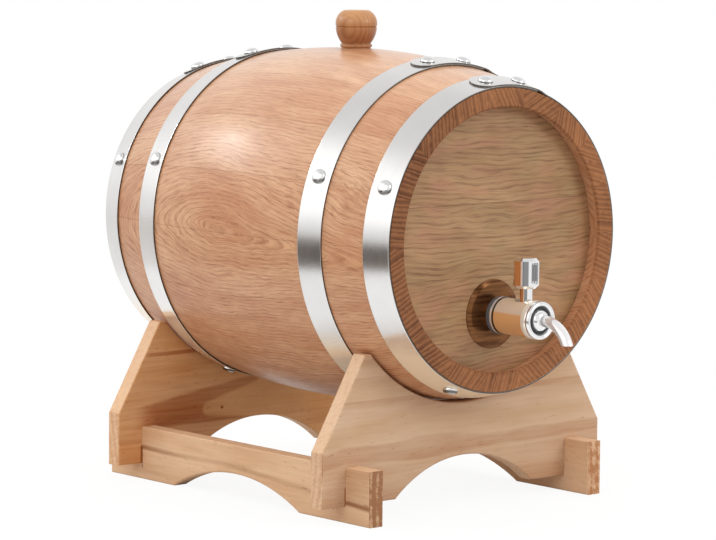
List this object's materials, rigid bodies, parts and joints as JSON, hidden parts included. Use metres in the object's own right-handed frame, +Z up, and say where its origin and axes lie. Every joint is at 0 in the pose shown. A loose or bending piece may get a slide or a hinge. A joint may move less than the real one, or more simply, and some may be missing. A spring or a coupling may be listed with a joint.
{
  "type": "cask drink dispenser",
  "caption": "Small staved oak cask with steel hoops, a bung on top and a chrome lever tap on its front head, lying in a pine saddle cradle.",
  "frame": {"origin": "middle of the underside of the whole object's box, on the surface that the cradle stands on", "axes": "+Z up, -Y out of the tap head, so the cask's axis lies along Y, and X = 0 is the middle plane of cask, tap and cradle"},
  "size_m": [0.228, 0.3302, 0.2974],
  "materials": {
    "stave_oak": "satin",
    "head_oak": "satin",
    "bung_oak": "satin",
    "cradle_pine": "satin",
    "hoop_steel": "brushed",
    "nail_steel": "polished",
    "tap_chrome": "polished",
    "tap_plate_chrome": "polished",
    "tap_rubber": "matte",
    "tap_brass": "satin",
    "plunger_plastic": "matte",
    "pin_steel": "satin"
  },
  "bodies": {
    "cradle": {"plate_front": "cradle_pine", "plate_rear": "cradle_pine", "rail_left": "cradle_pine", "rail_right": "cradle_pine"},
    "cask": {"stave_01": "stave_oak", "stave_02": "stave_oak", "stave_03": "stave_oak", "stave_04": "stave_oak", "stave_05": "stave_oak", "stave_06": "stave_oak", "stave_07": "stave_oak", "stave_08": "stave_oak", "stave_09": "stave_oak", "stave_10": "stave_oak", "stave_11": "stave_oak", "stave_12": "stave_oak", "stave_13": "stave_oak", "stave_14": "stave_oak", "stave_15": "stave_oak", "stave_16": "stave_oak", "stave_17": "stave_oak", "stave_18": "stave_oak", "head_front_upper": "head_oak", "head_front_middle": "head_oak", "head_front_lower": "head_oak", "head_rear_upper": "head_oak", "head_rear_middle": "head_oak", "head_rear_lower": "head_oak", "hoop_front_end": "hoop_steel", "hoop_front_quarter": "hoop_steel", "hoop_rear_quarter": "hoop_steel", "hoop_rear_end": "hoop_steel", "nails_front_end": "nail_steel", "nails_front_quarter": "nail_steel", "nails_rear_quarter": "nail_steel", "nails_rear_end": "nail_steel", "tap_wall_plate": "tap_plate_chrome", "tap_gasket_outer": "tap_rubber", "tap_gasket_inner": "tap_rubber", "tap_lock_nut": "tap_brass", "tap_body": "tap_chrome", "tap_sleeve": "tap_brass", "lever_pin": "pin_steel", "tap_collar": "tap_chrome", "spout": "tap_chrome", "tap_spring": "pin_steel"},
    "bung": {"bung": "bung_oak"},
    "lever": {"lever_stem": "tap_chrome", "lever_knob": "tap_chrome"},
    "valve": {"plunger": "plunger_plastic", "plunger_seal": "tap_rubber"}
  },
  "joints": [
    {"name": "cask_lift", "type": "slide", "parent": "cradle", "child": "cask", "axis": [0, 0, 1], "range_m": [0, 0.12]},
    {"name": "bung_pull", "type": "slide", "parent": "cask", "child": "bung", "axis": [0, 0, 1], "range_m": [0, 0.06]},
    {"name": "tap_lever", "type": "hinge", "parent": "cask", "child": "lever", "pos_m": [0, -0.12626, 0.1245], "axis": [-1, 0, 0], "range_deg": [0, 28], "stiffness_Nm_per_rad": 0.05, "springref_deg": -11.46},
    {"name": "valve_slide", "type": "slide", "parent": "cask", "child": "valve", "axis": [0, -1, 0], "range_m": [0, 0.0033], "deforming": ["tap_spring"]}
  ],
  "couplings": [
    {"joint": "valve_slide", "follows": "tap_lever", "m_per_rad": 0.006725}
  ]
}
